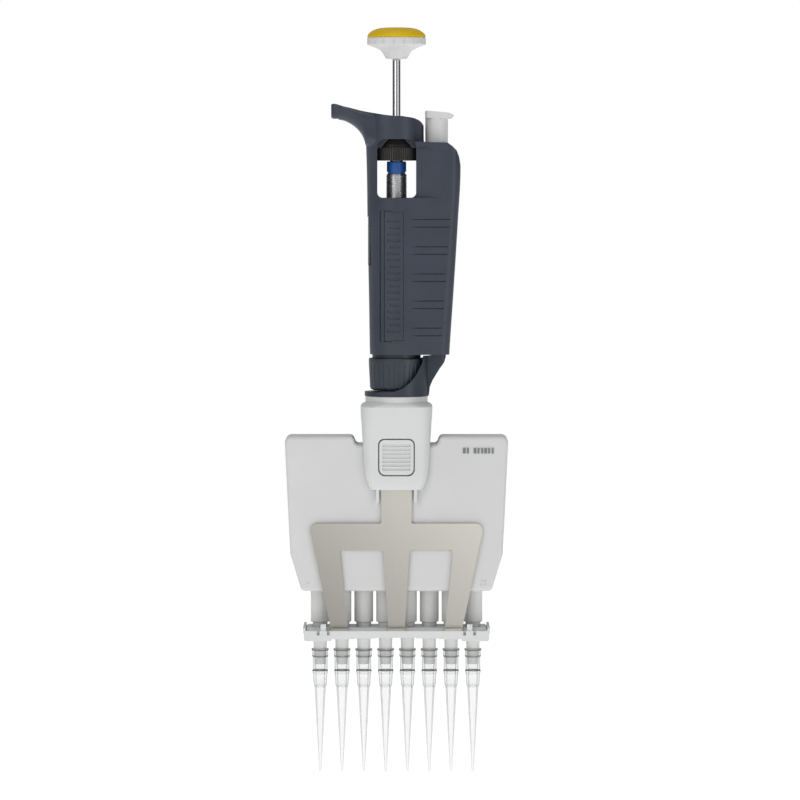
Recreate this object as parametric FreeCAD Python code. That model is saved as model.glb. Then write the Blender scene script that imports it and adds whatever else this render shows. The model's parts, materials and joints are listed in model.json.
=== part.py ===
import FreeCAD, Part
import math
import os

# Eight-channel hand-held pipette, 20 to 200 microlitres, with eight tips fitted.
# Millimetres. Origin on the pipette's axis, level with the tips' lower ends.
# +Z up along the axis, X along the row of channels, -Y the front.
V = FreeCAD.Vector

# ---- driving dimensions -------------------------------------------------------
pitch = 9.0                 # microplate well pitch
channels = 8
press_stroke = 20.0         # push button, including the blow-out step
eject_stroke = 9.6          # tip ejector
tip_push_off = 5.5          # how far the ejector carries the tips
screw_pitch = 0.8           # micrometer screw, ten microlitres a turn
screw_travel = 14.4         # eighteen turns
running = 0.06              # radial gap of a shaft in its guide
part_gap = 0.3              # gap between pieces that pass each other

tip_top = 51.1
tip_rim_r = 3.6
nozzle_end = 44.7
nozzle_shoulder = 61.4
barrel_foot = 62.25
barrel_r = 3.9
piston_r = 2.0

module_bottom = 75.5
module_waist = 90.6
module_top = 139.2
module_centre_top = 135.8
module_half_bottom = 39.0
module_half_waist = 43.6
module_half_top = 45.9
module_depth = 9.5          # half depth
module_wall = 2.0

comb_half_length = 38.0
comb_half_depth = 12.6
comb_bottom = tip_top + eject_stroke - tip_push_off + 0.1
comb_top = comb_bottom + 4.2
fork_back = module_depth + 0.4
fork_plate = 1.0
fork_front_face = fork_back + fork_plate

shell_bottom = 117.4
shell_top = 155.4
shell_neck_r = 12.8
neck_r = 7.3

nut_bottom = 157.9
nut_top = 171.0
nut_r_top = 11.4
nut_r_bottom = 10.9
spigot_r = 9.2

handle_bottom = 172.6
shoulder_z = 259.3
hook_land = 269.2
ejector_x = 16.47
eject_rod_x = 17.0
eject_rod_r = 1.9
rod_r = 1.62
button_bottom = 293.65
button_rim_r = 12.06
height = 306.45

window_left = -7.9
window_right = 8.07
window_floor = 236.8
window_roof = 260.8
thumbwheel_r = 8.2
screw_r = 4.3
screw_top = 246.9
screw_bottom = 214.0
display_bottom = 209.0
display_top = 229.0

rod_end = 166.0
collar_top = screw_bottom - screw_travel - 0.2
collar_bottom = collar_top - 3.4
cup_top = collar_bottom - press_stroke * 0.8 - 0.1
cup_bottom = cup_top - 5.4
spring_seat = 167.5

carriage_z = 118.0
seal_plate_top = 86.0


# ---- shape helpers --------------------------------------------------------------
def cyl(r, low, high, x=0.0, y=0.0):
    return Part.makeCylinder(r, high - low, V(x, y, low))


def tube(r_out, r_in, low, high, x=0.0, y=0.0):
    return cyl(r_out, low, high, x, y).cut(cyl(r_in, low - 1, high + 1, x, y))


def box(x0, x1, y0, y1, z0, z1):
    return Part.makeBox(x1 - x0, y1 - y0, z1 - z0, V(x0, y0, z0))


def turned(profile, x=0.0, y=0.0):
    points = [V(x + r, y, z) for r, z in profile]
    points.append(points[0])
    face = Part.Face(Part.makePolygon(points))
    return face.revolve(V(x, y, 0), V(0, 0, 1), 360)


def rounded_wire(corners, place):
    # corners are (u, v, radius); place turns (u, v) into a point in space
    edges = []
    ends = []
    count = len(corners)
    for i in range(count):
        u, v, r = corners[i]
        pu, pv, _ = corners[i - 1]
        nu, nv, _ = corners[(i + 1) % count]
        back = FreeCAD.Vector(pu - u, pv - v, 0)
        ahead = FreeCAD.Vector(nu - u, nv - v, 0)
        back.normalize()
        ahead.normalize()
        here = FreeCAD.Vector(u, v, 0)
        if r <= 0:
            ends.append((here, None, here))
            continue
        half = back.getAngle(ahead) / 2
        reach = r / math.tan(half)
        middle = back + ahead
        middle.normalize()
        centre = here + middle * (r / math.sin(half))
        ends.append((here + back * reach, centre - middle * r, here + ahead * reach))
    for i in range(count):
        start, mid, stop = ends[i]
        if mid is not None:
            edges.append(Part.Arc(place(start), place(mid), place(stop)).toShape())
        following = ends[(i + 1) % count][0]
        if (following - stop).Length > 1e-6:
            edges.append(Part.makeLine(place(stop), place(following)))
    return Part.Wire(edges)


def plate(corners, y0, y1):
    wire = rounded_wire(corners, lambda p: V(p.x, y0, p.y))
    return Part.Face(wire).extrude(V(0, y1 - y0, 0))


def slab(corners, z0, z1):
    wire = rounded_wire(corners, lambda p: V(p.x, p.y, z0))
    return Part.Face(wire).extrude(V(0, 0, z1 - z0))


def both_sides(half_outline):
    # mirrors an outline given from the axis outwards and closes it
    return half_outline + [(-u, v, r) for u, v, r in reversed(half_outline)]


def hexagon(across_flats, low, high):
    r = across_flats / math.sqrt(3)
    points = [V(r * math.cos(math.radians(60 * i)), r * math.sin(math.radians(60 * i)), low)
              for i in range(7)]
    return Part.Face(Part.makePolygon(points)).extrude(V(0, 0, high - low))


def spring(mean_r, wire_r, low, high, turns, x=0.0):
    # an eight-sided wire swept along a helix, its ends level with the seats
    rise = (high - low - 2 * wire_r) / turns
    helix = Part.makeHelix(rise, rise * turns, mean_r)
    lean = math.atan(rise / (2 * math.pi * mean_r))
    section = []
    for i in range(9):
        angle = math.pi * (2 * i + 1) / 8
        out = wire_r * math.cos(angle)
        up = wire_r * math.sin(angle)
        section.append(V(mean_r + out, -up * math.sin(lean), up * math.cos(lean)))
    body = Part.Wire(helix).makePipeShell([Part.makePolygon(section)], True, True)
    body.translate(V(x, 0, low + wire_r))
    return body


def around(tool, count, start=0.0):
    tools = []
    for i in range(count):
        turnedtool = tool.copy()
        turnedtool.rotate(V(0, 0, 0), V(0, 0, 1), start + 360.0 * i / count)
        tools.append(turnedtool)
    return Part.makeCompound(tools)


def row_x(i):
    return (i - (channels - 1) / 2) * pitch


ROW = [row_x(i) for i in range(channels)]
parts = {}


def keep(name, shape):
    shape = shape.removeSplitter()
    if shape.ShapeType == "Compound" and len(shape.Solids) == 1:
        shape = shape.Solids[0]
    parts[name] = shape


# ---- tips and nozzles --------------------------------------------------------------
def tip(x):
    outer = [(0.5, 0.0), (2.32, 35.2), (2.7, 36.0), (2.95, 40.6), (3.25, 41.2), (3.25, 42.0),
             (3.05, 42.3), (3.1, 47.6), (3.4, 47.9), (3.4, 48.6), (3.25, 48.9), (3.3, 50.2),
             (tip_rim_r, 50.4), (tip_rim_r, tip_top)]
    inner = [(2.66, tip_top), (2.24, nozzle_end), (2.1, 43.0), (1.85, 35.4), (0.26, 0.0)]
    return turned(outer + inner, x)


def nozzle(x):
    outer = [(2.2, nozzle_end), (2.62, 51.2), (2.7, 51.2), (3.05, nozzle_shoulder), (3.05, barrel_foot - 0.25),
             (3.7, barrel_foot), (barrel_r, barrel_foot + 0.25), (barrel_r, 80.3), (4.3, 80.3), (4.3, 81.9)]
    inner = [(piston_r + running, 81.9), (piston_r + running, 55.2), (1.0, 54.6), (1.0, nozzle_end)]
    return turned(outer + inner, x)


for i in range(channels):
    keep("tip_%d" % (i + 1), tip(ROW[i]))
    keep("nozzle_%d" % (i + 1), nozzle(ROW[i]))

keep("piston_seals", Part.makeCompound([tube(3.6, piston_r + running, 81.9, 84.0, x) for x in ROW]))
pistons = [turned([(0, 76.4), (1.6, 76.4), (piston_r, 76.8), (piston_r, carriage_z),
                   (1.2, carriage_z), (1.2, carriage_z + 2.5), (0, carriage_z + 2.5)], x) for x in ROW]
keep("pistons", Part.makeCompound(pistons))

base_half = module_half_bottom - 2.8
screw_spots = [(sx * 27.0, sy * 5.6) for sx in (-1, 1) for sy in (-1, 1)]
nozzle_base = box(-base_half, base_half, -7.2, 7.2, 77.6, 80.3)
seal_plate = box(-base_half, base_half, -7.2, 7.2, 84.0, seal_plate_top)
for x in ROW:
    nozzle_base = nozzle_base.cut(cyl(barrel_r + 0.05, 70, 90, x))
    seal_plate = seal_plate.cut(cyl(piston_r + 0.3, 80, 90, x))
screws = []
for x, y in screw_spots:
    nozzle_base = nozzle_base.cut(cyl(0.9, 70, 90, x, y))
    seal_plate = seal_plate.cut(cyl(0.9, 70, 90, x, y))
    shank = cyl(0.9, 77.7, seal_plate_top + 0.01, x, y)
    head = cyl(1.5, seal_plate_top, seal_plate_top + 1.4, x, y)
    socket = cyl(0.7, seal_plate_top + 0.6, seal_plate_top + 2, x, y)
    screws.append(shank.fuse(head).cut(socket).removeSplitter())
keep("nozzle_base", nozzle_base)
keep("seal_plate", seal_plate)
keep("module_screws", Part.makeCompound(screws))

# ---- piston carriage -----------------------------------------------------------------
piston_plate = slab(both_sides([(34.6, -4.0, 1.5), (34.6, 4.0, 1.5)]), carriage_z, carriage_z + 3.5)
for x in ROW:
    piston_plate = piston_plate.cut(cyl(1.2, carriage_z - 1, carriage_z + 2.5, x))
keep("piston_plate", piston_plate)
drive_low = carriage_z + 3.5
drive_high = rod_end - 0.1
keep("drive_rod", turned([(0, drive_low), (5, drive_low), (5, drive_low + 2), (2.5, drive_low + 2.6),
                          (2.5, drive_high - 2.4), (3.5, drive_high - 2.0), (3.5, drive_high), (0, drive_high)]))
keep("return_springs", Part.makeCompound([spring(1.9, 0.33, seal_plate_top, carriage_z, 15, x)
                                          for x in (-2 * pitch, 2 * pitch)]))

# ---- module body ------------------------------------------------------------------------
def module_outline(inset):
    # the outline moved inwards by the wall, from the bottom right anticlockwise
    w = inset
    return both_sides([(module_half_bottom - w, module_bottom + w, 1.0 if w else 1.9),
                       (module_half_waist - w, module_waist, 4.0),
                       (module_half_top - w, module_top - w, 1.0 if w else 2.6),
                       (17.9 + w, module_top - w, 1.0 if w else 2.0),
                       (16.6 + w, module_centre_top - w, 1.0 if w else 1.7)])


def module_half(sign):
    solid = plate(module_outline(0), 0, sign * module_depth)
    rim = [e for e in solid.Edges
           if abs(e.BoundBox.YMin - sign * module_depth) < 1e-4 and abs(e.BoundBox.YMax - sign * module_depth) < 1e-4]
    solid = solid.makeFillet(1.5, rim)
    solid = solid.cut(plate(module_outline(module_wall), -sign * 1, sign * (module_depth - module_wall)))
    for x in ROW:
        solid = solid.cut(cyl(barrel_r + 0.1, module_bottom - 1, module_bottom + module_wall + 1, x))
    solid = solid.cut(cyl(neck_r + 0.05, module_centre_top - module_wall - 1, module_top + 1))
    return solid


module_front = module_half(-1)
module_rear = module_half(1)
# volume range shown by three rising bars, channel end marks by small raised pips
for i, tall in enumerate((1.1, 1.8, 2.5)):
    bar = box(34.0 + 1.7 * i, 35.0 + 1.7 * i, -module_depth - 0.15, -module_depth + 0.5, 132.6, 132.6 + tall)
    module_front = module_front.fuse(bar)
pip = Part.makeSphere(0.45)
for x, z in [(-36.3, 79.0)] + [(35.0 + 1.4 * i, 78.2 + 1.5 * j) for i in range(2) for j in range(2)]:
    mark = pip.copy()
    mark.translate(V(x, -module_depth + 0.1, z))
    module_front = module_front.fuse(mark)
keep("module_front", module_front)
keep("module_rear", module_rear)

neck_low = module_centre_top - module_wall - 2.0
neck_flange = nut_bottom + 2.9
neck = turned([(2.5 + running, neck_low), (11.0, neck_low), (11.0, neck_low + 2.0), (neck_r, neck_low + 2.0),
               (neck_r, neck_flange), (8.7, neck_flange), (8.7, neck_flange + 2.6), (3.8, neck_flange + 2.6),
               (3.8, neck_low + 5.0), (2.5 + running, neck_low + 4.0)])
foot = box(-12, 12, -module_depth + module_wall + 0.05, module_depth - module_wall - 0.05, neck_low - 1, neck_low + 2.0)
keep("neck_tube", neck.common(foot.fuse(cyl(9, neck_low + 2.0, neck_flange + 3))))

# ---- ejector shell, forks and comb ----------------------------------------------------------
def shell_section(z, half_x, half_y, corner):
    corners = [(half_x, -half_y, corner), (half_x, half_y, corner),
               (-half_x, half_y, corner), (-half_x, -half_y, corner)]
    return rounded_wire(corners, lambda p: V(p.x, p.y, z))


shell_levels = [(shell_bottom, 10.6, 12.9, 3.0), (119.4, 11.7, 13.3, 3.2), (125.0, 13.1, 13.7, 3.8),
                (137.2, 13.9, 14.1, 4.8), (145.5, 14.45, 14.4, 5.6), (151.3, 14.7, 14.5, 6.5)]
shell_outer = Part.makeLoft([shell_section(*level) for level in shell_levels], True, False)
cap = Part.makeLoft([shell_section(151.3, 14.7, 14.5, 6.5), shell_section(152.1, 14.1, 13.9, 8.0),
                     shell_section(152.9, 12.85, 12.85, 12.0)], True, True)
shell_outer = shell_outer.fuse(cap).fuse(cyl(shell_neck_r, 152.9, shell_top))
slot_top = module_centre_top + eject_stroke + part_gap
shell_inner = box(-40, 40, -fork_back, fork_back, shell_bottom - 1, slot_top)
shell_inner = shell_inner.fuse(cyl(neck_r + part_gap + 0.4, slot_top - 1, shell_top + 1))

button_low = 123.6
button_high = 138.0
button_outline = [(-7.0, button_low, 2.6), (7.0, button_low, 2.6), (7.0, button_high, 2.2), (-7.0, button_high, 2.2)]
slot = 0.5
pocket_outline = [(-7.0 - slot, button_low - slot, 2.8), (7.0 + slot, button_low - slot, 2.8),
                  (7.0 + slot, button_high + slot, 2.5), (-7.0 - slot, button_high + slot, 2.5)]
button_back = fork_front_face + 1.6


def shell_half(sign):
    side = box(-40, 40, -40 if sign < 0 else 0, 0 if sign < 0 else 40, 100, 160)
    solid = shell_outer.common(side).cut(shell_inner)
    solid = solid.cut(plate(pocket_outline, sign * (fork_front_face + 0.35), sign * 20))
    stem = box(-6.7, 6.7, min(sign * 9.0, sign * fork_front_face), max(sign * 9.0, sign * fork_front_face),
               shell_bottom - 1, button_high - 4)
    solid = solid.cut(stem)
    for x0, x1 in ((-8.5, -7.1), (7.1, 8.5)):
        tab = plate([(x0, shell_bottom - 5.4, 0.6), (x1, shell_bottom - 5.4, 0.6), (x1, shell_bottom + 1.5, 0),
                     (x0, shell_bottom + 1.5, 0)], sign * (fork_back + 0.05), sign * 12.2)
        solid = solid.fuse(tab)
    return solid


def release_button(sign):
    key = plate(button_outline, sign * button_back, sign * 20).common(shell_outer)
    for i in range(7):
        z = button_high - 2.4 - 1.6 * i
        groove = Part.makeCylinder(0.5, 11.4, V(-5.7, sign * (13.62 + (z - 125.0) * 0.033), z), V(1, 0, 0))
        key = key.cut(groove)
    return key


keep("shell_front", shell_half(-1))
keep("shell_rear", shell_half(1))
keep("release_button_front", release_button(-1))
keep("release_button_rear", release_button(1))


def fork(sign):
    near = sign * fork_back
    far = sign * fork_front_face
    outer = [(-26.8, comb_top, 0), (-19.8, comb_top, 0), (-23.3, 92.6, 1.3), (-5.4, 92.6, 1.3),
             (-3.35, comb_top, 0), (3.35, comb_top, 0), (5.4, 92.6, 1.3), (23.3, 92.6, 1.3), (19.8, comb_top, 0),
             (26.8, comb_top, 0), (36.0, 103.5, 3.0), (6.1, 103.5, 0.8), (6.3, 110.9, 0), (6.6, 132.8, 1.5),
             (-6.6, 132.8, 1.5), (-6.3, 110.9, 0), (-6.1, 103.5, 0.8), (-36.0, 103.5, 3.0)]
    frame = plate(outer, near, far)
    for x0, x1 in ((-26.8, -19.8), (-3.35, 3.35), (19.8, 26.8)):
        foot = box(x0, x1, min(near, sign * (comb_half_depth - 0.1)), max(near, sign * (comb_half_depth - 0.1)),
                   comb_top, comb_top + fork_plate)
        frame = frame.fuse(foot)
    return frame


keep("fork_front", fork(-1))
keep("fork_rear", fork(1))

comb = plate([(-comb_half_length, comb_bottom, 0.9), (comb_half_length, comb_bottom, 0.9),
              (comb_half_length, comb_top, 0.3), (-comb_half_length, comb_top, 0.3)],
             -comb_half_depth, comb_half_depth)
comb = comb.fuse(box(-36.8, 36.8, -fork_back + 0.2, fork_back - 0.2, comb_top, comb_top + 0.8))
for sign in (-1, 1):
    lip = box(sign * 37.8 - 0.5, sign * 37.8 + 0.5, -comb_half_depth, comb_half_depth, comb_top - 1, comb_top + 1.3)
    comb = comb.fuse(lip)
    for x0, x1 in ((31.5, 32.6), (27.4, 28.5)):
        for y0 in (-comb_half_depth - 1, comb_half_depth - 1.6):
            low, high = sorted((sign * x0, sign * x1))
            comb = comb.cut(box(low, high, y0, y0 + 2.6, comb_top - 1.8, comb_top + 2))
    for y0 in (-comb_half_depth + 0.3, comb_half_depth - 1.5):
        comb = comb.fuse(box(sign * 30 - 1.1, sign * 30 + 1.1, y0, y0 + 1.2, comb_top - 1, comb_top + 2.7))
# the underside rises step by step towards the middle, so the tips come off two at a time
for reach, rise in ((27.4, 0.8), (18.0, 1.1), (9.0, 1.35)):
    comb = comb.cut(plate([(-reach, comb_bottom - 2, 0), (reach, comb_bottom - 2, 0),
                           (reach - 0.8, comb_bottom + rise, 0.5), (-reach + 0.8, comb_bottom + rise, 0.5)],
                          -comb_half_depth - 1, comb_half_depth + 1))
for x in ROW:
    comb = comb.cut(cyl(3.05 + 0.2, 50, 65, x))
keep("comb", comb)

# ---- connecting nut, collar and spigot -----------------------------------------------------
nut = turned([(neck_r + part_gap, nut_bottom), (nut_r_bottom - 1.2, nut_bottom),
              (nut_r_bottom - 0.35, nut_bottom + 0.35), (nut_r_bottom, nut_bottom + 1.2),
              (nut_r_top, nut_top - 1.6), (nut_r_top, nut_top - 0.3), (nut_r_top - 0.3, nut_top),
              (spigot_r + running, nut_top), (spigot_r + running, nut_bottom + 2.6),
              (neck_r + part_gap, nut_bottom + 2.6)])
flute = Part.makeCylinder(0.55, 10.4, V(nut_r_bottom + 0.3, 0, nut_bottom + 0.7))
flute.rotate(V(nut_r_bottom + 0.3, 0, nut_bottom), V(0, 1, 0), math.degrees(math.atan(0.5 / 11.5)))
nut = nut.cut(around(flute, 30))
keep("connecting_nut", nut)

collar_low = nut_top + 0.15
insert_r = 8.8
cup_r = 6.6
keep("coupling_spigot", turned([
    (3.9, neck_flange + 3.0), (spigot_r - 0.4, neck_flange + 3.0), (spigot_r, neck_flange + 3.4),
    (spigot_r, collar_low), (9.95, collar_low), (9.95, handle_bottom + 0.6), (insert_r, handle_bottom + 0.6),
    (insert_r, 178.0), (cup_r + 0.1, 178.0), (cup_r + 0.1, spring_seat), (3.9, spring_seat)]))
keep("blowout_cup", turned([(rod_r + 0.08, cup_bottom), (cup_r, cup_bottom), (cup_r, cup_top - 0.4),
                            (cup_r - 0.4, cup_top), (rod_r + 0.08, cup_top)]))
keep("blowout_spring", spring(4.9, 0.4, spring_seat, cup_bottom, 3.25))

# ---- handle ------------------------------------------------------------------------------------
# height, left radius, right reach, half width near the right flank
handle_levels = [(handle_bottom, 10.9, 21.7, 9.0), (181.0, 11.1, 22.2, 9.2), (195.7, 11.3, 23.2, 9.5),
                 (208.0, 11.55, 24.0, 9.8), (222.0, 11.8, 24.85, 10.1), (235.0, 12.0, 25.65, 10.4),
                 (246.5, 12.15, 26.2, 10.5), (254.0, 12.35, 26.15, 10.5), (262.0, 12.55, 25.9, 10.3)]


def handle_section(z, left, right, half, inset=0.0):
    # a round back joined by flat flanks to a rounded right-hand end
    left -= inset
    right -= inset
    half -= inset
    corner = 4.2 - inset
    cx = right - corner
    cy = half - corner
    far = math.hypot(cx, cy)
    lean = math.atan2(cy, cx) + math.acos((left - corner) / far)
    nx = math.cos(lean)
    ny = math.sin(lean)
    a = V(left * nx, left * ny, z)
    b = V(cx + corner * nx, cy + corner * ny, z)
    mid_angle = lean / 2
    bm = V(cx + corner * math.cos(mid_angle), cy + corner * math.sin(mid_angle), z)
    c = V(right, cy, z)

    def flip(p):
        return V(p.x, -p.y, p.z)

    edges = [Part.Arc(flip(a), V(-left, 0, z), a).toShape(), Part.makeLine(a, b),
             Part.Arc(b, bm, c).toShape(), Part.makeLine(c, flip(c)),
             Part.Arc(flip(c), flip(bm), flip(b)).toShape(), Part.makeLine(flip(b), flip(a))]
    return Part.Wire(edges)


def head_section(x, low, high, half, low_corner, high_corner):
    corners = [(-half, low, low_corner), (half, low, low_corner), (half, high, high_corner), (-half, high, high_corner)]
    return rounded_wire(corners, lambda p: V(x, p.x, p.y))


trunk = Part.makeLoft([handle_section(*level) for level in handle_levels], True, False)


def skin(depth):
    # what is left of the trunk when a skin of that depth is taken off, for engraving
    return Part.makeLoft([handle_section(*level, inset=depth) for level in handle_levels], True, False)


trim = Part.makePolygon([V(30, -30, 240), V(30, -30, 270), V(-30, -30, 270), V(-30, -30, shoulder_z + 0.4),
                         V(11.0, -30, shoulder_z + 0.4), V(21.0, -30, shoulder_z), V(22.9, -30, 257.9),
                         V(24.6, -30, 256.2), V(25.6, -30, 253.6), V(26.4, -30, 249.0), V(27.5, -30, 240), V(30, -30, 240)])
trunk = trunk.cut(Part.Face(trim).extrude(V(0, 60, 0)))

# stations along the head and the finger hook: x, underside, top, half width, corner radii
head_stations = [(-26.7, 269.6, 274.9, 6.6, 1.6, 1.2), (-25.9, 269.1, 275.25, 7.2, 1.8, 1.2),
                 (-22.9, 268.7, 274.6, 8.0, 2.0, 1.6), (-19.7, 267.6, 273.75, 8.7, 2.6, 2.0),
                 (-16.4, 265.3, 272.9, 9.3, 3.2, 2.4), (-14.1, 262.4, 272.35, 9.6, 3.6, 2.8),
                 (-12.7, 258.4, 272.05, 9.6, 3.8, 3.0)]
hook = Part.makeLoft([head_section(*s) for s in head_stations], True, False)
head_levels = [(255.0, 12.4, 11.7), (258.5, 12.55, 11.35), (262.0, 12.75, 11.2), (268.0, 12.85, 11.2),
               (276.5, 12.9, 11.2)]


def head_ring(z, left, right):
    edges = [Part.Arc(V(0, -12.2, z), V(-left, 0, z), V(0, 12.2, z)).toShape(),
             Part.Arc(V(0, 12.2, z), V(right, 0, z), V(0, -12.2, z)).toShape()]
    return Part.Wire(edges)


head = Part.makeLoft([head_ring(*level) for level in head_levels], True, False)
crest = [V(-27.4, 0, 275.45), V(-24.7, 0, 274.9), V(-21.4, 0, 274.1), V(-16.5, 0, 272.85), V(-11.5, 0, 271.8),
         V(-6.6, 0, 270.95), V(-3.3, 0, 270.5), V(1.65, 0, 270.05), V(6.6, 0, 269.5), V(8.4, 0, 268.9),
         V(9.9, 0, 267.95), V(10.9, 0, 266.7), V(11.6, 0, 264.8)]
curve = Part.BSplineCurve()
curve.interpolate(crest)
lid_corners = [crest[-1], V(30, 0, crest[-1].z), V(30, 0, 290), V(-30, 0, 290), V(-30, 0, crest[0].z), crest[0]]
lid = Part.Wire([curve.toShape()] + [Part.makeLine(a, b) for a, b in zip(lid_corners, lid_corners[1:])])
lid = Part.Face(lid).extrude(V(0, 40, 0)).fuse(Part.Face(lid).extrude(V(0, -40, 0)))
head = head.cut(lid)
inner_root = Part.makeLoft([head_section(-12.7, 258.4, 272.05, 9.6, 3.8, 3.0),
                            head_section(-4.0, 256.4, 270.6, 9.0, 3.8, 3.0)], True, True)
hook = hook.cut(box(-27.5, -23.6, -12, 12, 260, hook_land))
handle = trunk.fuse(head).fuse(hook).fuse(inner_root)

# cavities
handle = handle.cut(plate([(window_left, window_floor, 2.2), (window_right, window_floor, 2.2),
                           (window_right, window_roof - 2.0, 1.5), (window_right - 1.8, window_roof, 1.5),
                           (window_left + 1.8, window_roof, 1.5), (window_left, window_roof - 2.0, 1.5)], -30, 30)
                    .cut(box(-9, 9, -6.0, 6.0, 257.2, 262.0)))
handle = handle.cut(turned([(0, 251.7), (thumbwheel_r + 0.35, 251.7), (thumbwheel_r + 0.35, 257.4), (7.9, 258.8),
                            (6.8, 260.8), (0, 260.8)]))
handle = handle.cut(cyl(5.3, 258, 261.9))
handle = handle.cut(cyl(4.0, 261, 280))
handle = handle.cut(cyl(screw_r + 0.5, 229, window_floor + 1))
handle = handle.cut(cyl(9.0, 229, 236.0))
handle = handle.cut(cyl(9.55, 206, 230.3))
handle = handle.cut(cyl(insert_r, handle_bottom - 1, 207))
handle = handle.cut(cyl(9.95 + 0.02, handle_bottom - 1, handle_bottom + 0.6))
# display opening in the round back, with a shallow rebate for its lens
handle = handle.cut(box(-14, -8, -3.2, 3.2, display_bottom + 1.4, display_top - 1.4))
rebate = tube(20, 11.45, display_bottom, display_top).common(box(-20, 0, -4.9, 4.9, 200, 235))
handle = handle.cut(rebate)
# channel of the tip-ejector button, its spring and its rod
stem_floor = 230.0
handle = handle.cut(cyl(4.65 + running, stem_floor, 290, ejector_x))
handle = handle.cut(cyl(eject_rod_r + running, 170, stem_floor + 1, eject_rod_x))
handle = handle.cut(box(14.1, 20.7, -3.3, 3.3, 170, 182.4))
# shallow scoop beside the window and the thumb scoop over the wheel
for sign in (-1, 1):
    wedge = [V(7.0, sign * 9.3, window_floor), V(18.4, sign * 10.85, window_floor), V(18.4, sign * 20, window_floor),
             V(7.0, sign * 20, window_floor), V(7.0, sign * 9.3, window_floor)]
    scoop = Part.Face(Part.makePolygon(wedge)).extrude(V(0, 0, 21.0))
    outline = plate([(6.0, window_floor, 0), (18.4, window_floor, 0), (18.4, 255.5, 4.0), (12.0, 257.8, 1.0),
                     (6.0, 257.8, 0)], sign * 5, sign * 25)
    handle = handle.cut(scoop.common(outline))
# name-plate frame with a plain column of bars, and pairs of grip grooves on the flanks
shallow = skin(0.3)
deep = skin(0.6)
for sign in (-1, 1):
    near = sign * 4
    reach = sign * 30
    panel = plate([(-5.1, 178.4, 0.4), (3.0, 178.4, 0.4), (3.0, 231.2, 0.4), (-5.1, 231.2, 0.4)], near, reach)
    field = plate([(-4.8, 178.7, 0.3), (2.7, 178.7, 0.3), (2.7, 230.9, 0.3), (-4.8, 230.9, 0.3)], near, reach)
    engraving = panel.cut(field)
    for k in range(18):
        z = 182.4 + 2.65 * k
        x0 = -3.7 + 0.9 * (k % 3 == 1)
        engraving = engraving.fuse(plate([(x0, z - 0.6, 0.55), (1.6, z - 0.6, 0.55), (1.6, z + 0.6, 0.55),
                                          (x0, z + 0.6, 0.55)], near, reach))
    handle = handle.cut(engraving.cut(shallow))
    blade = plate([(-6.85, 177.8, 0), (-6.5, 177.8, 0), (-6.5, 231.6, 0), (-6.85, 231.6, 0)], near, reach)
    for z in (231.5, 178.1):
        blade = blade.fuse(plate([(-5.3, z - 0.3, 0), (-1.8, z - 0.3, 0), (-1.8, z + 0.3, 0), (-5.3, z + 0.3, 0)],
                                 near, reach))
    grooves = []
    for k in range(5):
        for z in (228.0 - 11.1 * k, 224.9 - 11.1 * k):
            start = 5.9 + 0.05 * k
            stop = 22.3 - 0.85 * k
            grooves.append(plate([(start, z - 0.02, 0), (start + 4.0, z - 0.26, 0), (stop - 1.2, z - 0.26, 0),
                                  (stop, z, 0), (stop - 1.2, z + 0.26, 0), (start + 4.0, z + 0.26, 0),
                                  (start, z + 0.02, 0)], near, reach))
    for tool in [blade] + grooves:
        handle = handle.cut(tool.cut(deep))
keep("handle_body", handle)

keep("rod_bush", turned([(rod_r + running, 261.9), (4.0, 261.9), (4.0, 269.6), (3.4, 270.2), (2.2, 270.35),
                         (rod_r + running, 270.35)]))
keep("display_lens", tube(11.5, 10.4, display_bottom + 1.6, display_top - 1.6).common(
    box(-20, 0, -3.1, 3.1, 200, 235)).fuse(
    tube(11.72, 11.47, display_bottom + 0.1, display_top - 0.1).common(box(-20, 0, -4.8, 4.8, 200, 235))))
keep("screw_nut", turned([(screw_r + running, 207.0), (5.1, 207.0), (5.1, 230.4), (8.95, 230.4), (8.95, 235.9),
                          (screw_r + running, 235.9)]))
keep("ring_retainer", tube(9.4, 5.12, 207.2, 209.2).cut(box(-2.2, 2.2, -12, -5, 200, 215)))
for name, low in (("hundreds_ring", 222.7), ("tens_ring", 216.1), ("units_ring", 209.5)):
    ring = tube(9.3, 5.1 + running, low, low + 6.3)
    keep(name, ring)

# ---- dial: thumbwheel and hexagonal drive tube ------------------------------------------------
teeth = 56
knurl = []
for i in range(2 * teeth + 1):
    r = thumbwheel_r if i % 2 == 0 else thumbwheel_r - 0.35
    angle = math.pi * (i % (2 * teeth)) / teeth
    knurl.append(V(r * math.cos(angle), r * math.sin(angle), 252.0))
wheel = Part.Face(Part.makePolygon(knurl)).extrude(V(0, 0, 6.0))
crown = turned([(0, 251), (8.05, 251), (8.05, 252.0), (thumbwheel_r + 0.1, 252.4), (thumbwheel_r + 0.1, 256.7),
                (7.6, 258.0), (7.5, 258.4), (6.4, 260.5), (5.0, 260.6), (5.0, 261.5), (0, 261.5)])
wheel = wheel.fuse(cyl(7.6, 257.0, 261.5)).common(crown)
wheel = wheel.cut(hexagon(4.6, 250, 265))
keep("thumbwheel", wheel)
keep("drive_tube", hexagon(4.6, 222.0, 261.5).cut(cyl(rod_r + 0.08, 200, 270)))
hex_bore = hexagon(4.6 + 2 * running, 190, 260)
screw_body = turned([(0, screw_bottom), (screw_r - 0.4, screw_bottom), (screw_r, screw_bottom + 0.4),
                     (screw_r, screw_top - 0.3), (screw_r - 0.3, screw_top), (0, screw_top)]).cut(hex_bore)
keep("micrometer_screw", screw_body)
keep("volume_ring", turned([(0, screw_top), (3.6, screw_top), (3.6, 247.2), (4.0, 247.6), (4.0, 251.3), (3.7, 251.7),
                            (0, 251.7)]).cut(hex_bore))

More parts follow.
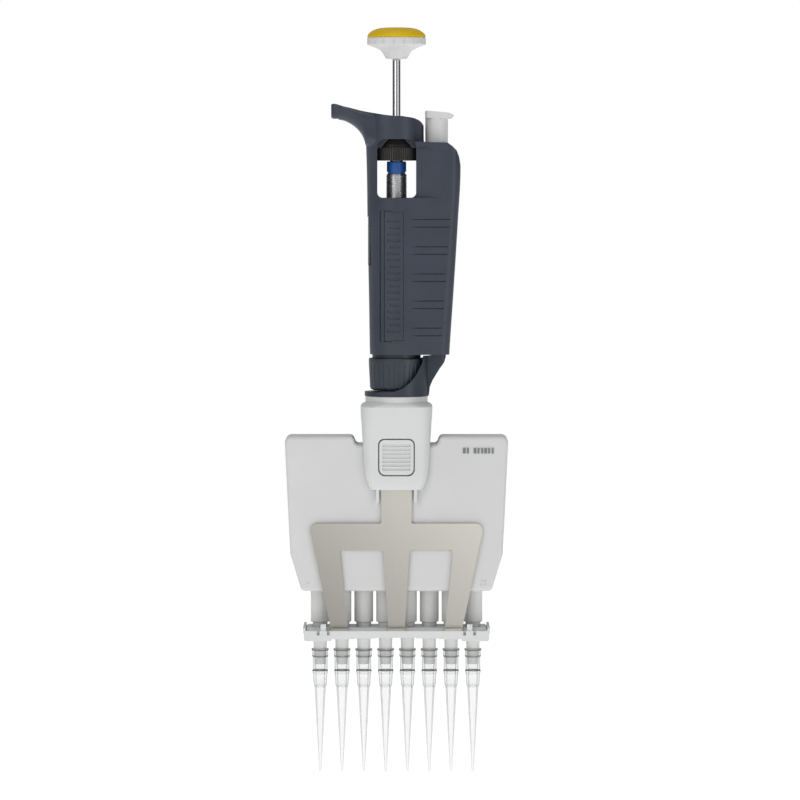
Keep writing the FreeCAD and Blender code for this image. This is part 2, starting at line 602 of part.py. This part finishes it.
# ---- push button and operating rod ---------------------------------------------------------------
cove = [(0, button_bottom), (4.0, button_bottom), (4.6, 294.0), (4.8, 294.6), (5.5, 295.8), (6.4, 297.0),
        (8.5, 298.2), (10.4, 298.9), (button_rim_r - 0.2, 299.4), (button_rim_r, 299.7), (button_rim_r, 302.1),
        (button_rim_r - 0.2, 302.3), (0, 302.3)]
button = turned(cove)
scallop = Part.makeCylinder(0.45, 3.6, V(button_rim_r + 0.12, 0, 299.0))
button = button.cut(around(scallop, 17, 10.6)).cut(cyl(rod_r, 290, 300.0))
keep("push_button", button)
keep("button_cap", turned([(0, 302.3), (11.7, 302.3), (11.95, 302.6), (11.9, 303.3), (11.3, 304.1), (9.9, 305.2),
                           (8.2, 305.95), (6.6, 306.28), (4.5, height), (0, height)]))
keep("operating_rod", cyl(rod_r, rod_end, 300.0))
keep("stop_collar", tube(4.4, rod_r, collar_bottom, collar_top))

# ---- tip-ejector button, rod and arm ----------------------------------------------------------------
stem_low = 252.0
stem = cyl(4.65, stem_low, 270.5, ejector_x)
cap_side = plate([(11.75, 269.5, 0.3), (22.6, 269.2, 0.5), (23.75, 270.6, 0.4), (21.6, 271.65, 1.0),
                  (12.2, 272.5, 0.4), (11.75, 272.2, 0.2)], -6, 6)
cap_plan = slab([(11.75, -4.7, 1.6), (19.0, -4.7, 3.0), (23.75, -2.4, 1.6), (23.75, 2.4, 1.6), (19.0, 4.7, 3.0),
                 (11.75, 4.7, 1.6)], 268, 274)
button = stem.fuse(cap_side.common(cap_plan)).cut(cyl(eject_rod_r + 0.03, stem_low - 1, stem_low + 8, eject_rod_x))
keep("ejector_button", button)
arm_stem_top = 182.0
keep("ejector_rod", cyl(eject_rod_r, 174.0, stem_low + 8, eject_rod_x))
keep("ejector_spring", spring(3.0, 0.35, stem_floor, stem_low, 8, eject_rod_x))

ring_low = shell_top + 0.1
ring_high = ring_low + 1.8
arm_side = plate([(13.2, ring_low, 0), (13.5, ring_high, 0.8), (13.7, 159.3, 3), (14.8, 161.9, 4), (17.8, 166.8, 5),
                  (19.6, 169.2, 3), (20.3, 171.6, 1.0), (20.3, arm_stem_top, 0.5), (14.4, arm_stem_top, 0.5),
                  (14.4, handle_bottom - 0.5, 0), (10.9, handle_bottom - 1.0, 0.5), (10.5, 169.2, 2), (8.1, 164.4, 3),
                  (5.8, 161.5, 4), (2.4, 158.8, 4), (-1.6, 157.5, 4), (-7.7, ring_high + 0.05, 0),
                  (-7.7, ring_low, 0)], -16, 16)
sleeve = tube(13.25, nut_r_top + 0.3, ring_low, handle_bottom - 0.6)
web = slab([(11.0, -3.0, 0.5), (20.4, -3.0, 2.0), (20.4, 3.0, 2.0), (11.0, 3.0, 0.5)], ring_low, arm_stem_top)
neck_clear = nut_r_top + 0.3
arm = sleeve.common(arm_side).fuse(web.cut(cyl(neck_clear, 150, handle_bottom + 1)).common(arm_side))
arm = arm.fuse(tube(13.1, neck_r + part_gap + 0.4, ring_low, ring_high))
arm = arm.cut(cyl(nut_r_top + 0.25, nut_bottom - part_gap, handle_bottom + 1))
arm = arm.cut(cyl(eject_rod_r + 0.03, 174.0, 190, eject_rod_x))
keep("ejector_arm", arm)

# ---- files -------------------------------------------------------------------------------------------
os.makedirs("parts", exist_ok=True)
for name in sorted(parts):
    parts[name].exportStep("parts/%s.step" % name)
    bounds = parts[name].BoundBox
    print("%-22s %s valid %s solids %d  z %.2f..%.2f" % (
        name, parts[name].ShapeType, parts[name].isValid(), len(parts[name].Solids), bounds.ZMin, bounds.ZMax))
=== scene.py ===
import json
import math
import bmesh
import bpy
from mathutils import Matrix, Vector


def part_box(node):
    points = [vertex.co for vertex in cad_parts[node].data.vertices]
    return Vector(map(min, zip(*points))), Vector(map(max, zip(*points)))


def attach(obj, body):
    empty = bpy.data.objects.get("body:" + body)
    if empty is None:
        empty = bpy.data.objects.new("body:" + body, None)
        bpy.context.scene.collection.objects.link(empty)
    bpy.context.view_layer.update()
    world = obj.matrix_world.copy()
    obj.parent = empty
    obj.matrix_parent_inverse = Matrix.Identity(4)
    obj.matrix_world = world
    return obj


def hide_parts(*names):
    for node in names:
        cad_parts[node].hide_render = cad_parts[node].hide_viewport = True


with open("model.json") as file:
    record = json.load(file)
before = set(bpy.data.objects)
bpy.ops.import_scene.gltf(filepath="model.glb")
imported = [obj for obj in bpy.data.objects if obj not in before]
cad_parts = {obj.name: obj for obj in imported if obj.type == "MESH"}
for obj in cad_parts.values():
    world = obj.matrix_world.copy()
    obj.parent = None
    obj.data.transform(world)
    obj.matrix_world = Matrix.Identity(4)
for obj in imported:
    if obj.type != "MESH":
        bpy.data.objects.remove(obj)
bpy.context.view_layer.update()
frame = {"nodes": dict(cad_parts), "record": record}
scene = bpy.context.scene
MM = 0.001


# ---- colour and node helpers -----------------------------------------------------
def srgb(code, alpha=1.0):
    values = [int(code[i:i + 2], 16) / 255 for i in (0, 2, 4)]
    return [v / 12.92 if v <= 0.04045 else ((v + 0.055) / 1.055) ** 2.4 for v in values] + [alpha]


def node(tree, kind, settings=None, links=None):
    # adds one node; settings name properties or sockets, links name sockets fed by outputs
    made = tree.nodes.new(kind)
    for key, value in (settings or {}).items():
        if isinstance(key, int) or key in made.inputs:
            made.inputs[key].default_value = value
        else:
            setattr(made, key, value)
    for key, output in (links or {}).items():
        tree.links.new(output, made.inputs[key])
    return made


def blank(name):
    material = bpy.data.materials.new(name)
    material.use_nodes = True
    tree = material.node_tree
    tree.nodes.clear()
    place = node(tree, "ShaderNodeTexCoord").outputs["Object"]
    return material, tree, place


def soft_edge(tree, radius_mm=0.2):
    # the small round that a mould or a tumbling drum leaves on every corner, as a shading normal,
    # and a mask that is strongest along those corners, where the colour gets a painted highlight
    rounding = node(tree, "ShaderNodeBevel", {"samples": 4, "Radius": radius_mm * MM})
    flat = node(tree, "ShaderNodeNewGeometry")
    agree = node(tree, "ShaderNodeVectorMath", {"operation": "DOT_PRODUCT"},
                 {0: rounding.outputs[0], 1: flat.outputs["Normal"]})
    painted_edge_highlight_mask = node(tree, "ShaderNodeMapRange", {"From Min": 1.0, "From Max": 0.85},
                {"Value": agree.outputs["Value"]})
    return rounding.outputs[0], painted_edge_highlight_mask.outputs["Result"]


def finish_with(tree, settings, links):
    shader = node(tree, "ShaderNodeBsdfPrincipled", settings, links)
    node(tree, "ShaderNodeOutputMaterial", None, {"Surface": shader.outputs[0]})


def moulded(name, dark, light, rough, grain_mm, bump_mm, patch_mm=14.0, extra=None):
    # an injection-moulded skin: two close tones in soft patches, fine eroded grain, uneven gloss
    material, tree, place = blank(name)
    patch = node(tree, "ShaderNodeTexNoise", {"Scale": 1000 / patch_mm, "Detail": 3.0}, {"Vector": place})
    tone = node(tree, "ShaderNodeValToRGB", None, {"Fac": patch.outputs["Fac"]})
    tone.color_ramp.elements[0].position = 0.3
    tone.color_ramp.elements[0].color = srgb(dark)
    tone.color_ramp.elements[1].position = 0.7
    tone.color_ramp.elements[1].color = srgb(light)
    rounding, painted_edge_highlight_mask = soft_edge(tree)
    # colour sockets of the mix: 6 is A, 7 is B, and output 2 is the mixed colour
    # painted highlight: the colour is screened a little lighter along every corner
    edge_highlighted_colour = node(tree, "ShaderNodeMix", {"data_type": "RGBA", "blend_type": "SCREEN", 7: (0.035, 0.036, 0.038, 1)},
                    {0: painted_edge_highlight_mask, 6: tone.outputs["Color"]})
    tint = edge_highlighted_colour.outputs[2]
    grain = node(tree, "ShaderNodeTexNoise", {"Scale": 1000 / grain_mm, "Detail": 2.0}, {"Vector": place})
    gloss = node(tree, "ShaderNodeMapRange",
                 {"From Min": 0.3, "From Max": 0.7, "To Min": rough - 0.05, "To Max": rough + 0.05},
                 {"Value": grain.outputs["Fac"]})
    relief = node(tree, "ShaderNodeBump", {"Strength": 0.35, "Distance": bump_mm * MM},
                  {"Height": grain.outputs["Fac"], "Normal": rounding})
    settings = {"Metallic": 0.0, "IOR": 1.5}
    settings.update(extra or {})
    finish_with(tree, settings, {"Base Color": tint, "Roughness": gloss.outputs["Result"],
                                 "Normal": relief.outputs["Normal"]})
    return material


# ---- materials ---------------------------------------------------------------------
def turned_metal(name, dark, light, rough, lathe_mm, axis_scale=(0, 0, 1), strength=0.25, uneven=0.07):
    # a cut or drawn metal: fine marks that run across axis_scale, in tone, gloss and relief
    material, tree, place = blank(name)
    stretch = node(tree, "ShaderNodeMapping", None, {"Vector": place})
    stretch.inputs["Scale"].default_value = [1000 / lathe_mm * s for s in axis_scale]
    marks = node(tree, "ShaderNodeTexNoise", {"Scale": 1.0, "Detail": 4.0, "Roughness": 0.6},
                 {"Vector": stretch.outputs[0]})
    tone = node(tree, "ShaderNodeValToRGB", None, {"Fac": marks.outputs["Fac"]})
    tone.color_ramp.elements[0].position = 0.3
    tone.color_ramp.elements[0].color = srgb(dark)
    tone.color_ramp.elements[1].position = 0.7
    tone.color_ramp.elements[1].color = srgb(light)
    gloss = node(tree, "ShaderNodeMapRange",
             {"From Min": 0.3, "From Max": 0.7, "To Min": rough - uneven, "To Max": rough + uneven},
                 {"Value": marks.outputs["Fac"]})
    links = {"Base Color": tone.outputs["Color"], "Roughness": gloss.outputs["Result"]}
    if strength:
        relief = node(tree, "ShaderNodeBump", {"Strength": strength, "Distance": 0.02 * MM},
                      {"Height": marks.outputs["Fac"]})
        links["Normal"] = relief.outputs["Normal"]
    finish_with(tree, {"Metallic": 1.0}, links)
    return material


def pbt_handle():
    # moulded PBT, spark-eroded tool: deep navy with a low satin sheen and a faint grain
    return moulded("navy_pbt_satin_moulded", "2C3340", "333A48", 0.42, 0.35, 0.05)


def pbt_nut():
    # the same PBT in a slightly greyer batch, a little glossier on the flutes
    return moulded("slate_pbt_moulded", "262E39", "2E3743", 0.38, 0.35, 0.04)


def pbt_arm():
    # PBT arm from its own tool: the same navy as the handle, a shade darker and smoother
    return moulded("navy_pbt_arm", "272E3A", "2F3643", 0.36, 0.35, 0.04)


def acetal_black():
    # turned and knurled acetal: near black with a warm cast and soft edges of light
    return moulded("black_acetal_turned", "221F1D", "2B2826", 0.36, 0.3, 0.03)


def pbt_channel_block():
    # moulded PP/PBT housing: warm white, very even, fine matt grain
    return moulded("white_pbt_moulded", "CFD0CF", "D5D6D5", 0.5, 0.3, 0.03, 30.0)


def abs_ejector_shell():
    # moulded ABS sleeve: cool white and a little glossier than the block behind it
    return moulded("white_abs_shell", "D3D4D4", "D9DADA", 0.42, 0.3, 0.02, 30.0)


def pom_comb():
    # moulded acetal comb: the palest white, with thin bright edges from the rounded-corner shading and a painted
    # highlight
    return moulded("white_pom_comb", "D6D7D7", "DCDDDD", 0.45, 0.3, 0.02, 30.0)


def pvdf_nozzle():
    # grey-white PVDF: slightly waxy, light passes a little way in
    return moulded("grey_pvdf_moulded", "D3D4D2", "DADBD9", 0.4, 0.3, 0.02, 8.0)


def pom_ejector_button():
    # moulded acetal button: pale grey, rubbed smooth by the thumb
    return moulded("pale_grey_pom_moulded", "D5D5D5", "DBDBDB", 0.38, 0.3, 0.02, 10.0)


def abs_yellow_cap():
    # moulded ABS cap: strong signal yellow with a broad soft highlight
    return moulded("yellow_abs_moulded", "D3AE00", "DAB500", 0.42, 0.3, 0.015, 8.0,
                    {"Specular IOR Level": 0.2})


def pom_blue_ring():
    # turned acetal ring: clear mid blue, soft highlight
    return moulded("blue_pom_turned", "1F56A0", "2560B0", 0.35, 0.3, 0.02, 4.0)


def pom_number_rings():
    # moulded acetal number rings: cream, matt
    return moulded("cream_pom_rings", "E6E5DF", "EDECE7", 0.45, 0.3, 0.01, 6.0)


def mark_ink():
    # pad-printed ink: flat mid grey, slightly broken up by the grain under it
    return moulded("grey_pad_ink", "77797A", "828485", 0.6, 0.4, 0.01, 2.0)


def fkm_seals():
    # moulded fluoro-rubber: dull near black
    return moulded("black_fkm_moulded", "181818", "202020", 0.6, 0.2, 0.02, 4.0)


def chromed_rod():
    # hard chrome on a ground rod: mirror bright with very faint rings
    return turned_metal("hard_chrome_ground", "CDCDCF", "D0D0D2", 0.18, 6.0, (0, 0, 1), 0.0, 0.01)


def screw_steel():
    # rolled stainless thread: bright crests, darker roots
    return turned_metal("stainless_rolled_thread", "DCDCDD", "E4E4E5", 0.34, 6.0, (0, 0, 1), 0.0, 0.02)


def plain_steel():
    # turned stainless: grey, with fine rings from the lathe
    return turned_metal("stainless_turned", "9C9DA0", "B6B7BA", 0.32, 0.3, (0, 0, 1), 0.2)


def spring_wire():
    # drawn spring steel: darker grey, fine marks along the wire
    return turned_metal("spring_steel_drawn", "77787C", "96979B", 0.34, 0.5, (0.4, 0.4, 1), 0.2)


def brass_nut():
    # turned brass: warm yellow, dulled a little
    return turned_metal("brass_turned", "B08A45", "C7A055", 0.3, 0.25, (0, 0, 1), 0.2)


def fork_sheet():
    # stainless sheet, blasted then tumbled: a fine dull grain, and a slow roll of tone where the
    # long thin tines take their light from the dark end of the room to the bright one
    material, tree, place = blank("stainless_sheet_blasted")
    grit = node(tree, "ShaderNodeTexNoise", {"Scale": 1000 / 0.5, "Detail": 3.0}, {"Vector": place})
    spot = node(tree, "ShaderNodeSeparateXYZ", None, {"Vector": place})
    rise = node(tree, "ShaderNodeMapRange", {"From Min": 0.058, "From Max": 0.112, "To Max": 0.5},
                {"Value": spot.outputs["Z"]})
    side = node(tree, "ShaderNodeMapRange", {"From Min": -0.034, "From Max": 0.034, "To Max": 0.5},
                {"Value": spot.outputs["X"]})
    roll = node(tree, "ShaderNodeMath", {"operation": "ADD"},
                {0: rise.outputs["Result"], 1: side.outputs["Result"]})
    speck = node(tree, "ShaderNodeMapRange",
             {"From Min": 0.3, "From Max": 0.7, "To Min": -0.04, "To Max": 0.04},
                 {"Value": grit.outputs["Fac"]})
    level = node(tree, "ShaderNodeMath", {"operation": "ADD"},
                 {0: roll.outputs[0], 1: speck.outputs["Result"]})
    tone = node(tree, "ShaderNodeValToRGB", None, {"Fac": level.outputs[0]})
    tone.color_ramp.elements[0].position = 0.05
    tone.color_ramp.elements[0].color = srgb("A3A099")
    tone.color_ramp.elements[1].position = 0.95
    tone.color_ramp.elements[1].color = srgb("DDDAD2")
    relief = node(tree, "ShaderNodeBump", {"Strength": 0.12, "Distance": 0.02 * MM},
                  {"Height": grit.outputs["Fac"]})
    finish_with(tree, {"Metallic": 1.0, "Roughness": 0.5}, {"Base Color": tone.outputs["Color"],
                                                            "Normal": relief.outputs["Normal"]})
    return material


def clear(name, tint, rough, ior, grain_mm, bump_mm):
    # clear plastic: what shows is the rim darkening and the highlights, with a slight moulding ripple
    material, tree, place = blank(name)
    ripple = node(tree, "ShaderNodeTexNoise", {"Scale": 1000 / grain_mm, "Detail": 2.0}, {"Vector": place})
    relief = node(tree, "ShaderNodeBump", {"Strength": 0.2, "Distance": bump_mm * MM},
                  {"Height": ripple.outputs["Fac"]})
    gloss = node(tree, "ShaderNodeMapRange", {"To Min": rough, "To Max": rough + 0.06},
                 {"Value": ripple.outputs["Fac"]})
    finish_with(tree, {"Base Color": srgb(tint), "Transmission Weight": 1.0, "IOR": ior},
                {"Normal": relief.outputs["Normal"], "Roughness": gloss.outputs["Result"]})
    return material


def pp_clear_tips():
    # thin clear polypropylene off a polished mould: nearly nothing where it is seen square on,
    # grey and glossy where the wall turns edge on, the grey a painted shade for the light bent in the wall, with
    # faint flow streaks along the tip
    material, tree, place = blank("clear_pp_tip_moulded")
    stretch = node(tree, "ShaderNodeMapping", {"Scale": (1000 / 1.2, 1000 / 1.2, 1000 / 14)},
                   {"Vector": place})
    streak = node(tree, "ShaderNodeTexNoise", {"Scale": 1.0, "Detail": 2.0}, {"Vector": stretch.outputs[0]})
    turn = node(tree, "ShaderNodeLayerWeight", {"Blend": 0.38})
    wall = node(tree, "ShaderNodeValToRGB", None, {"Fac": turn.outputs["Facing"]})
    wall.color_ramp.elements[0].position = 0.2
    wall.color_ramp.elements[0].color = (0.05, 0.05, 0.05, 1)
    wall.color_ramp.elements[1].position = 0.8
    wall.color_ramp.elements[1].color = (0.6, 0.6, 0.6, 1)
    veil = node(tree, "ShaderNodeMapRange", {"To Min": -0.01, "To Max": 0.03},
                {"Value": streak.outputs["Fac"]})
    cover = node(tree, "ShaderNodeMath", {"operation": "ADD"},
                 {0: wall.outputs["Color"], 1: veil.outputs["Result"]})
    # painted shade: each ledge of the moulded rings gets a thin dark line round the tip, standing in for the shade
    # the ledge throws in the clear wall
    height = node(tree, "ShaderNodeSeparateXYZ", None, {"Vector": place})
    along = node(tree, "ShaderNodeMapRange", {"From Min": 0.034, "From Max": 0.052},
                 {"Value": height.outputs["Z"]})
    ledge_shade_lines = node(tree, "ShaderNodeValToRGB", None, {"Fac": along.outputs["Result"]})
    ledge_shade_stops = ledge_shade_lines.color_ramp
    ledge_shade_stops.interpolation = "LINEAR"
    ledge_shade_stops.elements[0].color = (0, 0, 0, 1)
    ledge_shade_stops.elements[1].position = (51.2 - 34) / 18
    ledge_shade_stops.elements[1].color = (0.2, 0.2, 0.2, 1)
    for low_mm, high_mm, weight in ((35.0, 36.2, 0.08), (40.4, 41.0, 0.08), (41.9, 42.2, 0.9),
             (47.65, 47.9, 0.75),
                                    (50.25, 50.5, 0.8)):
        for level, value in ((low_mm - 0.08, 0.0), (low_mm, weight), (high_mm, weight),
                 (high_mm + 0.08, 0.03)):
            stop = ledge_shade_stops.elements.new((level - 34) / 18)
            stop.color = (value, value, value, 1)
    cover = node(tree, "ShaderNodeMath", {"operation": "ADD", "use_clamp": True},
                 {0: cover.outputs[0], 1: ledge_shade_lines.outputs["Color"]})
    # painted shade: the colour goes from pale grey face on to dark grey where the wall turns edge on
    tint = node(tree, "ShaderNodeValToRGB", None, {"Fac": turn.outputs["Facing"]})
    tint.color_ramp.elements[0].color = srgb("B4B8B8")
    tint.color_ramp.elements[1].color = srgb("5E6363")
    # painted shade: the colour is darkened along the same ledge lines
    dark = node(tree, "ShaderNodeMix", {"data_type": "RGBA", "blend_type": "MULTIPLY", 7: srgb("6E7272")},
                {0: ledge_shade_lines.outputs["Color"], 6: tint.outputs["Color"]})
    shade = dark.outputs[2]
    gloss = node(tree, "ShaderNodeMapRange", {"To Min": 0.12, "To Max": 0.22},
                 {"Value": streak.outputs["Fac"]})
    finish_with(tree, {"IOR": 1.49}, {"Base Color": shade, "Alpha": cover.outputs[0],
                                      "Roughness": gloss.outputs["Result"]})
    return material


def pmma_window():
    # smoked acrylic over the number rings: dark grey, glossy, the rings just show through
    return clear("smoked_pmma_window", "4A4E54", 0.03, 1.49, 3.0, 0.01)


finishes = {
    "navy_plastic": pbt_handle(), "nut_plastic": pbt_nut(), "arm": pbt_arm(), "black_plastic": acetal_black(),
    "white_plastic": pbt_channel_block(), "shell_plastic": abs_ejector_shell(), "comb_plastic": pom_comb(),
    "nozzle_plastic": pvdf_nozzle(), "grey_plastic": pvdf_nozzle(), "pale_grey_plastic": pom_ejector_button(),
    "yellow_plastic": abs_yellow_cap(), "blue_plastic": pom_blue_ring(), "digit_plastic": pom_number_rings(),
    "seal_rubber": fkm_seals(), "chrome": chromed_rod(), "screw_steel": screw_steel(), "steel": plain_steel(),
    "spring_steel": spring_wire(), "brass": brass_nut(), "fork_steel": fork_sheet(),
             "clear_tip": pp_clear_tips(),
    "lens": pmma_window(), "mark_ink": mark_ink(),
}
own_finish = {"ejector_arm": finishes["arm"]}
slot_of = {s["node"]: s["material_slot"] for s in frame["record"]["subparts"]}
for name, piece in frame["nodes"].items():
    piece.data.materials.clear()
    piece.data.materials.append(own_finish.get(name, finishes[slot_of[name]]))

# ---- pieces with more detail than the frame --------------------------------------------
def lathe(name, profile, finish, x=0.0, sides=64, radius_at=None):
    # a closed ring of (radius, height) points in millimetres, turned about the upright line at x
    mesh = bpy.data.meshes.new(name)
    form = bmesh.new()
    rows = []
    for r, z in profile:
        row = []
        for k in range(sides):
            angle = 2 * math.pi * k / sides
            reach = radius_at(r, z, angle) if radius_at else r
            across = (x + reach * math.cos(angle)) * MM
            row.append(form.verts.new((across, reach * math.sin(angle) * MM, z * MM)))
        rows.append(row)
    for low, high in zip(rows, rows[1:] + rows[:1]):
        for k in range(sides):
            j = (k + 1) % sides
            form.faces.new((low[k], low[j], high[j], high[k]))
    bmesh.ops.recalc_face_normals(form, faces=form.faces[:])
    form.to_mesh(mesh)
    form.free()
    mesh.materials.append(finish)
    piece = bpy.data.objects.new(name, mesh)
    scene.collection.objects.link(piece)
    for face in mesh.polygons:
        face.use_smooth = True
    mesh.set_sharp_from_angle(angle=math.radians(38))
    return piece


def stands_for(piece, cad_node, body):
    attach(piece, body)
    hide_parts(cad_node)


def rounded_profile(corners, radius=0.12):
    # rounds every corner of the turned outline with a short two-step arc
    soft = []
    count = len(corners)
    for i in range(count):
        here = Vector(corners[i])
        back = Vector(corners[i - 1]) - here
        ahead = Vector(corners[(i + 1) % count]) - here
        step = min(radius, 0.4 * back.length, 0.4 * ahead.length)
        start = here + back.normalized() * step
        stop = here + ahead.normalized() * step
        soft += [tuple(start), tuple((start + stop + here * 2) / 4), tuple(stop)]
    return soft


for i in range(8):
    low, high = (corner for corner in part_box("tip_%d" % (i + 1)))
    centre = (low[0] + high[0]) / 2 / MM
    rim = (high[0] - low[0]) / 2 / MM
    top = high[2] / MM
    outer = [(0.5, 0.02), (1.3, 15.5), (2.32, 35.2), (2.7, 36.0), (2.95, 40.6), (3.25, 41.2),
             (3.25, 42.0), (3.05, 42.3),
             (3.1, 47.6), (3.4, 47.9), (3.4, 48.6), (3.25, 48.9), (3.3, 50.2), (rim - 0.01, 50.4),
                      (rim - 0.01, top - 0.01)]
    inner = [(2.68, top - 0.01), (2.26, 44.7), (2.1, 43.0), (1.85, 35.4), (0.26, 0.02)]
    stands_for(lathe("pipette_tip_%d" % (i + 1), rounded_profile(outer + inner), finishes["clear_tip"], centre, 56),
               "tip_%d" % (i + 1), "tips")

def range_print():
    # a plain row of upright printed dashes where a volume range would go, in flat grey ink
    low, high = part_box("module_front")
    mesh = bpy.data.meshes.new("range_print")
    form = bmesh.new()
    face_y = low[1] + 0.13 * MM
    start_x, foot_z = 0.0278, high[2] - 7.0 * MM
    for k in range(9):
        if k == 2:
            continue
        size = ((0.85 if k % 3 else 1.1) * MM, 0.12 * MM, 2.3 * MM)
        block = bmesh.ops.create_cube(form, size=1.0)["verts"]
        bmesh.ops.scale(form, vec=size, verts=block)
        bmesh.ops.translate(form, vec=(start_x + 1.45 * k * MM, face_y, foot_z + 1.15 * MM), verts=block)
    form.to_mesh(mesh)
    form.free()
    mesh.materials.append(finishes["mark_ink"])
    piece = bpy.data.objects.new("range_print", mesh)
    scene.collection.objects.link(piece)
    edge = piece.modifiers.new("ink_edge", "BEVEL")
    edge.width = 0.04 * MM
    edge.segments = 2
    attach(piece, "module")


range_print()

low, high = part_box("micrometer_screw")
crest = (high[0] - low[0]) / 2 / MM - 0.01
thread_pitch = 0.8
thread_depth = 0.34
steps = 8
foot, head = low[2] / MM, high[2] / MM
wall = [(crest - 0.55, foot + 0.01)]
rises = int((head - foot - 1.0) / thread_pitch * steps)
wall += [(crest, foot + 0.5 + thread_pitch * k / steps) for k in range(rises)]
wall += [(crest - 0.5, head - 0.3), (crest - 0.7, head - 0.01), (2.95, head - 0.01), (2.95, foot + 0.01)]


def thread_radius(r, z, angle):
    # a sixty-degree vee with flat crests, one start, running off at both ends
    if r < crest:
        return r
    phase = ((z - foot) / thread_pitch - angle / (2 * math.pi)) % 1.0
    return crest - thread_depth * max(0.0, 1.0 - abs(phase - 0.5) / 0.38)


stands_for(lathe("threaded_screw", wall, finishes["screw_steel"], 0.0, 72, thread_radius),
           "micrometer_screw", "micrometer")

low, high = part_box("button_cap")
base, crown, edge = low[2] / MM, high[2] / MM, (high[0] - low[0]) / 2 / MM
dome = [(0.3, base + 0.01), (edge - 0.25, base + 0.01), (edge - 0.02, base + 0.3),
         (edge - 0.05, base + 1.0), (edge - 0.65, base + 1.8),
        (edge - 1.3, base + 2.35), (edge - 2.05, base + 2.9), (edge - 3.75, base + 3.65),
                 (edge - 5.35, base + 3.98),
        (4.5, crown - 0.01), (0.3, crown - 0.01)]
stands_for(lathe("thumb_cap", rounded_profile(dome, 0.5), finishes["yellow_plastic"], 0.0, 96),
           "button_cap", "plunger")

low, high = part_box("operating_rod")
rod = (high[0] - low[0]) / 2 / MM
bar = [(0.05, low[2] / MM), (rod, low[2] / MM), (rod, high[2] / MM), (0.05, high[2] / MM)]
stands_for(lathe("ground_rod", rounded_profile(bar, 0.2), finishes["chrome"], 0.0, 64),
           "operating_rod", "plunger")

# ---- floor, light and camera ----------------------------------------------------------
floor_mesh = bpy.data.meshes.new("studio_floor")
reach = 4.0
floor_corners = [(-reach, -reach, 0), (reach, -reach, 0), (reach, reach, 0), (-reach, reach, 0)]
floor_mesh.from_pydata(floor_corners, [], [(0, 1, 2, 3)])
floor = bpy.data.objects.new("studio_floor", floor_mesh)
floor.location.z = -0.22
scene.collection.objects.link(floor)
paint = bpy.data.materials.new("white_floor_paint")
paint.use_nodes = True
paint.node_tree.nodes.clear()
finish_with(paint.node_tree, {"Base Color": srgb("FFFFFF"),
         "Roughness": 0.9, "Emission Color": srgb("FFFFFF"),
                              "Emission Strength": 0.72}, {})
floor_mesh.materials.append(paint)

world = bpy.data.worlds.new("studio")
scene.world = world
world.use_nodes = True
sky = world.node_tree
sky.nodes.clear()
way = node(sky, "ShaderNodeTexCoord").outputs["Generated"]
split = node(sky, "ShaderNodeSeparateXYZ", None, {"Vector": way})
side = node(sky, "ShaderNodeMath", {"operation": "ABSOLUTE"}, {0: split.outputs["X"]})
shade = node(sky, "ShaderNodeValToRGB", None, {"Fac": side.outputs[0]})
shade.color_ramp.elements[0].position = 0.35
shade.color_ramp.elements[0].color = (0.95, 0.95, 0.95, 1)
shade.color_ramp.elements[1].position = 0.85
shade.color_ramp.elements[1].color = (0.28, 0.28, 0.29, 1)
studio = node(sky, "ShaderNodeBackground", {"Strength": 0.45}, {"Color": shade.outputs["Color"]})
paper = node(sky, "ShaderNodeBackground", {"Color": (1, 1, 1, 1), "Strength": 1.0})
ray = node(sky, "ShaderNodeLightPath")
seen = node(sky, "ShaderNodeMath", {"operation": "MAXIMUM"},
            {0: ray.outputs["Is Camera Ray"], 1: ray.outputs["Is Transmission Ray"]})
blend = node(sky, "ShaderNodeMixShader", None,
             {0: seen.outputs[0], 1: studio.outputs[0], 2: paper.outputs[0]})
node(sky, "ShaderNodeOutputWorld", None, {"Surface": blend.outputs[0]})


def softbox(name, place, aim, size, power):
    lamp = bpy.data.lights.new(name, "AREA")
    lamp.shape = "RECTANGLE"
    lamp.size, lamp.size_y = size
    lamp.energy = power
    holder = bpy.data.objects.new(name, lamp)
    holder.location = place
    holder.rotation_euler = (Vector(aim) - Vector(place)).to_track_quat("-Z", "Y").to_euler()
    scene.collection.objects.link(holder)


softbox("key_box", (-0.9, -1.2, 0.9), (0, 0, 0.17), (0.6, 0.9), 5)
softbox("fill_box", (1.1, -1.0, 0.4), (0, 0, 0.17), (0.5, 0.9), 2.5)
softbox("top_box", (0.0, -0.1, 1.2), (0, 0, 0.17), (0.8, 0.8), 2.5)

camera_data = bpy.data.cameras.new("camera")
camera_data.lens = 202.0
camera_data.sensor_width = 36.0
camera_data.clip_start, camera_data.clip_end = 0.05, 50.0
camera = bpy.data.objects.new("camera", camera_data)
camera.location = (0.00144, -1.845, 0.245)
aim = Vector((0.00144, 0.0, 0.15366))
camera.rotation_euler = (aim - camera.location).to_track_quat("-Z", "Y").to_euler()
scene.collection.objects.link(camera)
scene.camera = camera
scene.view_settings.view_transform = "Standard"
scene.view_settings.look = "None"
